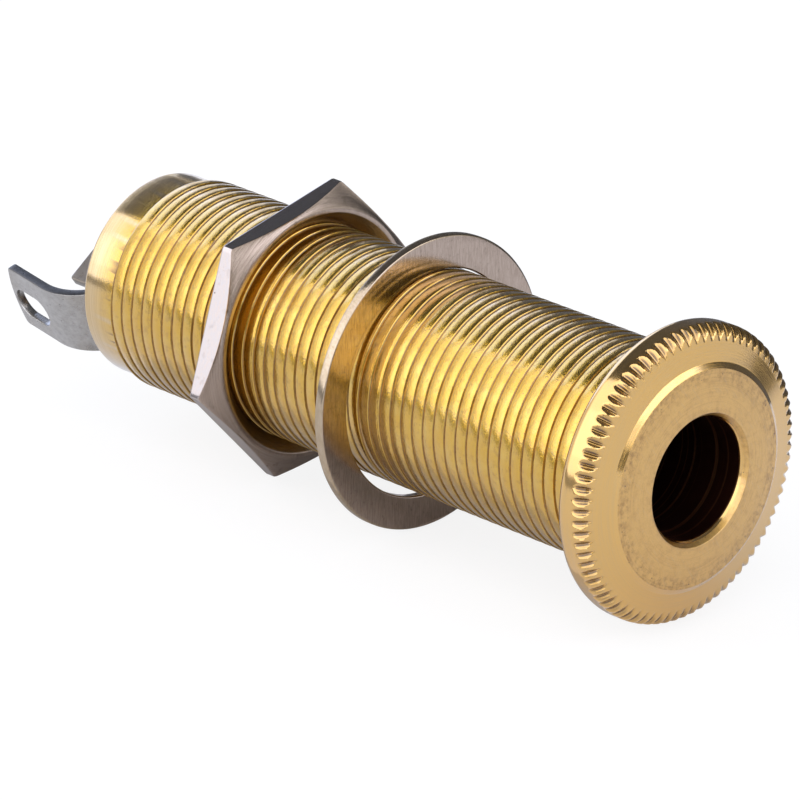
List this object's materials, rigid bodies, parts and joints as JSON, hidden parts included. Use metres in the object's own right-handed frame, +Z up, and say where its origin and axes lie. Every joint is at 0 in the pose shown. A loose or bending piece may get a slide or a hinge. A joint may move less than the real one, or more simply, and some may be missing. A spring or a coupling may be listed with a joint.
{
  "type": "quarter inch phone jack",
  "caption": "Long threaded barrel phone jack with a knurled flange, hex nut, flat washer, tip spring and solder terminals.",
  "frame": {"origin": "on the jack's axis, in the plane of the flange's panel seat", "axes": "+X along the axis out of the plug's mouth, +Z up, with the loose washer hanging down"},
  "size_m": [0.0473, 0.0162, 0.0164],
  "materials": {
    "gold_brass": "bright turned and gold plated",
    "nickel_nut": "brushed nickel",
    "nickel_washer": "satin nickel",
    "liner": "matt dark tube",
    "phenolic": "laminated phenolic",
    "spring_metal": "nickel plated spring bronze",
    "tinned_brass": "tinned, slightly mottled",
    "rivet_brass": "plain"
  },
  "bodies": {
    "shell": {"barrel": "gold_brass", "insulating_liner": "liner", "insulating_disc": "phenolic", "tip_terminal": "tinned_brass", "contact_rivet": "rivet_brass", "sleeve_terminal": "tinned_brass"},
    "nut": {"hex_nut": "nickel_nut"},
    "washer": {"flat_washer": "nickel_washer"},
    "spring": {"tip_spring": "spring_metal"}
  },
  "joints": [
    {"name": "nut_travel", "type": "slide", "parent": "shell", "child": "nut", "axis": [1, 0, 0], "range_m": [-0.00794, 0.00556]},
    {"name": "washer_slide", "type": "slide", "parent": "shell", "child": "washer", "axis": [1, 0, 0], "range_m": [-0.0024, 0.0167]},
    {"name": "tip_flex", "type": "hinge", "parent": "shell", "child": "spring", "pos_m": [-0.0326, 0.00172, -0.00242], "axis": [0, 0.8141, 0.5807], "range_deg": [0, 6], "stiffness_Nm_per_rad": 0.08, "deforming": ["tip_spring"]}
  ]
}
